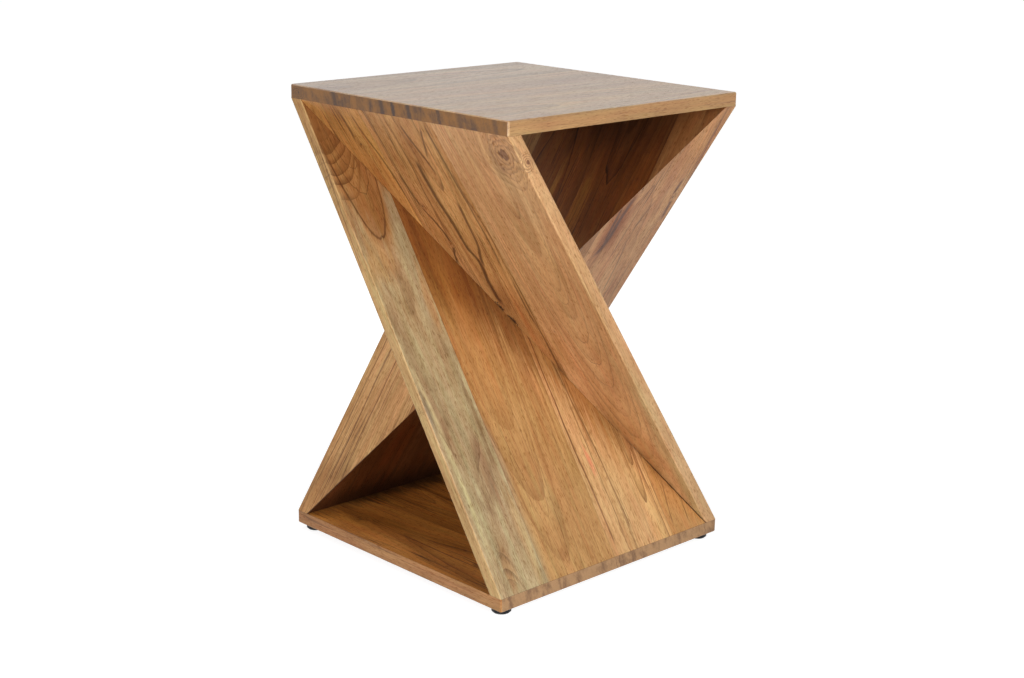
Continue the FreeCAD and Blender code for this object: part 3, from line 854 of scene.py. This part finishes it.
            ([(540, 50), (505, 56), (480, 60)], 1.3, 0.6),
            ([(470, 60), (420, 48), (360, 40)], 1.2, 0.6),
        ),
        knots=(("face", 92, 566, 8, 0.7), ("face", 15, 539, 6, 0.8)),
        patches=(
            (40, 650, 130, 90, (0.43, 0.190, 0.058), 0.75), (104, 500, 26, 75, (0.31, 0.085, 0.012), 0.8),
        ),
    ),
    "back_lower_stave_2": dict(
        lie="back_lower", seed=66.6, pith=(200, 60, -0.06), spacing=5.4,
        light=(0.50, 0.26, 0.105), dark=BROWN, line=(0.03, 0.009, 0.003),
        lines=0.9, warp=(12, 3, 0.8), hair=0.8,
        stains=(WING_SHADOW, FOOT_SHADOW),
    ),
    "back_lower_stave_3": dict(
        lie="back_lower", seed=71.9, pith=(380, 90, 0.03), spacing=5.2,
        light=(0.44, 0.20, 0.07), dark=UMBER, line=(0.03, 0.009, 0.003),
        lines=0.7, contrast=0.9, warp=(12, 3, 0.8), hair=0.5,
        stains=(WING_SHADOW, (300, 130, 30, 70, (0.21, 0.05, 0.012), 0.6), FOOT_SHADOW),
    ),
    "top_stave_front": dict(
        **TOP, seed=80.3, pith=(60, 60, 0.05), spacing=6,
        light=(0.575, 0.370, 0.180), dark=(0.36, 0.203, 0.098), line=(0.2, 0.1, 0.05),
        lines=0.7, contrast=1.1, margin=TOP_RIM,
        bars=((24, 7, 0.6), (84, 9, 0.6), (121, 6, 0.8)),
        patches=(
            (60, 110, 16, 150, (0.50, 0.280, 0.100), 0.6), (105, 250, 12, 120, (0.44, 0.250, 0.110), 0.5),
        ),
    ),
    "top_stave_middle": dict(
        **TOP, seed=84.7, pith=(220, 50, -0.04), spacing=5.5,
        light=(0.545, 0.350, 0.190), dark=(0.32, 0.180, 0.094), line=(0.16, 0.08, 0.04),
        lines=0.8, contrast=1.15,
        bars=((226, 9, 0.9), (205, 6, 1.0), (176, 8, 0.9), (160, 2, 0.7), (150, 2, 0.7)),
        patches=(
            (190, 180, 14, 140, (0.44, 0.240, 0.100), 0.55), (235, 60, 12, 110, (0.42, 0.230, 0.100), 0.5),
        ),
    ),
    "top_stave_back": dict(
        **TOP, seed=88.8, pith=(340, 55, 0.04), spacing=5.5,
        light=(0.520, 0.360, 0.215), dark=(0.32, 0.195, 0.108), line=(0.16, 0.08, 0.04),
        lines=0.8, contrast=1.15, margin=TOP_RIM,
        bars=((318, 10, 0.85), (290, 12, 0.4)),
        knots=(("end", 388, 10, 15, 1.0),),
        patches=((340, 60, 60, 150, (0.36, 0.215, 0.115), 0.75),),
    ),
    "base_stave_left": dict(
        **BASE, seed=92.4, pith=(50, 55, 0.05),
        light=(0.56, 0.210, 0.040), dark=(0.31, 0.105, 0.016), line=(0.06, 0.02, 0.004),
        lines=1.0, contrast=1.1, hair=0.9, margin=BASE_RIM,
        bars=((14, 5, 0.8), (100, 4, 0.6)),
        knots=(("face", 42, 322, 9, 0.7),),
        patches=((48, 325, 16, 40, (0.26, 0.095, 0.018), 0.6), BASE_SHADOW),
    ),
    "base_stave_mid_left": dict(
        **BASE, seed=96.9, pith=(160, 50, -0.05),
        light=(0.55, 0.205, 0.038), dark=(0.30, 0.101, 0.016), line=(0.06, 0.02, 0.004),
        lines=1.0, contrast=1.1, hair=0.9,
        bars=((211, 4, 0.8), (204, 1.5, 0.6)),
        patches=(BASE_SHADOW,),
    ),
    "base_stave_mid_right": dict(
        **BASE, seed=101.5, pith=(270, 50, 0.04),
        light=(0.50, 0.185, 0.036), dark=(0.28, 0.094, 0.014), line=(0.06, 0.02, 0.004),
        lines=1.0, contrast=1.05, hair=0.8,
        bars=((238, 2.5, 0.7), (220, 2, 0.6)),
        patches=(BASE_SHADOW,),
    ),
    "base_stave_right": dict(
        **BASE, seed=106.1, pith=(370, 45, 0.0),
        light=(0.48, 0.185, 0.048), dark=(0.30, 0.105, 0.022), line=(0.08, 0.03, 0.01),
        lines=0.8, contrast=0.95, hair=0.5, margin=BASE_RIM,
        bars=((264, 2, 0.8), (380, 2, 0.6)),
    ),
}
for node, figure in STAVES.items():
    origin, across = LIES[figure["lie"]][:2]
    axis = X if across[X] else Y
    edges = sorted((corner[axis] - origin[axis]) * across[axis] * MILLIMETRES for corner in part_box(node))
    dress(node, Wood("acacia_" + node, edges, figure).material)


# Features of the small materials for each metre, along X, Y and Z, and the depth of their relief in metres
BEECH_FLECKS, BEECH_DEPTH = (900, 900, 60), 0.0002
MOULD_GRAINS, MOULD_DEPTH = (2200, 2200, 2200), 0.0001
SCUFFS, SCUFF_HEIGHT = (160, 900, 300), 0.003
DRAWN_LINES = (3000, 3000, 200)


def inner_wood(name):
    """Plain bare beech with short flecks, for dowels and splines."""
    g = Finish(name)
    flecks = g.noise(g.scaled(g.here(), BEECH_FLECKS), 2)
    colour = g.mix(g.step(flecks, -0.2, 0.2), (0.72, 0.52, 0.33), (0.55, 0.37, 0.21))
    g.surface(colour, flecks * 0.2 + 0.62, bump=(flecks, 0.3, BEECH_DEPTH))
    return g.material


def glide_plastic(name):
    """Black moulded plastic, finely grained and scuffed at the foot."""
    g = Finish(name)
    place = g.here()
    grains = g.noise(g.scaled(place, MOULD_GRAINS), 2)
    scuffs = g.step(g.noise(g.scaled(place, SCUFFS), 2), 0.08, 0.2)
    worn = scuffs * g.step(g.split(place)[Z], 0.0, SCUFF_HEIGHT, 1.0, 0.15)
    colour = g.mix(worn, (0.006, 0.006, 0.007), (0.03, 0.029, 0.027))
    rough = grains * 0.2 + worn * 0.25 + 0.42
    g.surface(colour, rough, (("Specular IOR Level", 0.2),), (grains, 0.25, MOULD_DEPTH))
    return g.material


def pin_steel(name):
    """Drawn steel with fine lengthwise lines."""
    g = Finish(name)
    drawn = g.noise(g.scaled(g.here(), DRAWN_LINES), 2)
    colour = g.mix(g.step(drawn, -0.2, 0.2), (0.50, 0.50, 0.49), (0.66, 0.65, 0.64))
    g.surface(colour, drawn * 0.25 + 0.38, (("Metallic", 1.0),))
    return g.material


beech = inner_wood("bare_beech")
plastic = glide_plastic("glide_plastic_black")
steel = pin_steel("pin_steel_drawn")
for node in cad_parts:
    if "dowel" in node or "spline" in node:
        dress(node, beech)
    elif node == "glide_pins":
        dress(node, steel)
    elif node.startswith("glide_"):
        dress(node, plastic)

# White studio: a floor that keeps the table's shadow, a white surround and three soft lamps. What the camera
# sees of floor and surround is white, while they light the table only a little. The floor glows by the first
# share near the table and by the second past it, with the change between the given distances in metres.
FLOOR_REACH = 15
PAPER, DULL_PAPER, DULL_CLOUD = (0.4, 0.4, 0.4, 1), (0.24,) * 3, (0.27,) * 3
GLOW_SHARES, GLOW_ENDS = (0.84, 1.0), (0.3, 0.9)
SURROUND_LIGHT, SURROUND_SEEN = 0.03, 1.0


def floor_paper(name):
    """White paper where it is seen, glowing more away from the table, and grey where it gives light."""
    g = Finish(name)
    place = g.here()
    seen = g.seen()
    away = g.node("VectorMath", operation="LENGTH")
    g.feed(away.inputs[0], place)
    dull = g.node("BsdfDiffuse")
    g.feed(dull.inputs["Color"], g.mix(g.step(g.noise(place, 3), -0.3, 0.3), DULL_PAPER, DULL_CLOUD))
    white = g.node("BsdfDiffuse")
    white.inputs["Color"].default_value = PAPER
    glow = g.node("Emission")
    g.feed(glow.inputs["Strength"], g.step(Value(g, away.outputs["Value"]), *GLOW_ENDS, *GLOW_SHARES))
    both = g.node("AddShader")
    g.feed(both.inputs[0], white.outputs[0])
    g.feed(both.inputs[1], glow.outputs[0])
    mixed = g.node("MixShader")
    g.feed(mixed.inputs[0], seen)
    g.feed(mixed.inputs[1], dull.outputs[0])
    g.feed(mixed.inputs[2], both.outputs[0])
    g.output(mixed.outputs[0])
    return g.material


corners = [(x * FLOOR_REACH, y * FLOOR_REACH, 0) for x, y in ((-1, -1), (1, -1), (1, 1), (-1, 1))]
sheet = bpy.data.meshes.new("floor")
sheet.from_pydata(corners, [], [(0, 1, 2, 3)])
sheet.materials.append(floor_paper("floor_paper"))
floor = bpy.data.objects.new("floor", sheet)
bpy.context.scene.collection.objects.link(floor)

surround = bpy.data.worlds.new("surround")
g = Graph(surround)
sky = g.node("Background")
sky.inputs["Color"].default_value = (1, 1, 1, 1)
g.feed(sky.inputs["Strength"], g.step(g.seen(), 0.0, 1.0, SURROUND_LIGHT, SURROUND_SEEN))
g.feed(g.node("OutputWorld").inputs["Surface"], sky.outputs[0])
bpy.context.scene.world = surround

# Each lamp's place, what it points at, its side in metres and its power in watts
LAMPS = {
    "lamp_left": ((-2.2, -0.7, 0.75), (0, 0, 0.3), 1.3, 44),
    "lamp_front": ((-0.35, -2.4, 1.0), (0, 0, 0.3), 1.3, 48),
    "lamp_top": ((0.5, 0.9, 2.3), (0, 0, 0.4), 1.2, 14),
}
for name, (place, aim, size, power) in LAMPS.items():
    data = bpy.data.lights.new(name, "AREA")
    data.shape = "SQUARE"
    data.size = size
    data.energy = power
    lamp = bpy.data.objects.new(name, data)
    lamp.location = place
    lamp.rotation_euler = (Vector(place) - Vector(aim)).to_track_quat("Z", "Y").to_euler()
    bpy.context.scene.collection.objects.link(lamp)

# The camera, fitted to the corners of the table in the photograph. Its angles are in radians.
AZIMUTH, ELEVATION, ROLL, DISTANCE = -0.769660, 0.271766, 0.016324, 2.361348
AIM = Vector((0.002547, -0.002468, 0.275385))
FOCAL_PIXELS, WIDTH_PIXELS, SENSOR = 1769.807, 1024, 36
level_back = Vector((math.sin(AZIMUTH), -math.cos(AZIMUTH), 0))
back = level_back * math.cos(ELEVATION) + UP * math.sin(ELEVATION)
level_right = UP.cross(back).normalized()
level_up = back.cross(level_right)
right = level_right * math.cos(ROLL) + level_up * math.sin(ROLL)
up = level_up * math.cos(ROLL) - level_right * math.sin(ROLL)
turn = Matrix((right, up, back)).transposed().to_4x4()
lens = bpy.data.cameras.new("camera")
lens.sensor_fit = "HORIZONTAL"
lens.sensor_width = SENSOR
lens.lens = FOCAL_PIXELS * SENSOR / WIDTH_PIXELS
camera = bpy.data.objects.new("camera", lens)
camera.matrix_world = Matrix.Translation(AIM + back * DISTANCE) @ turn
bpy.context.scene.collection.objects.link(camera)
bpy.context.scene.camera = camera
bpy.context.scene.view_settings.view_transform = "Standard"
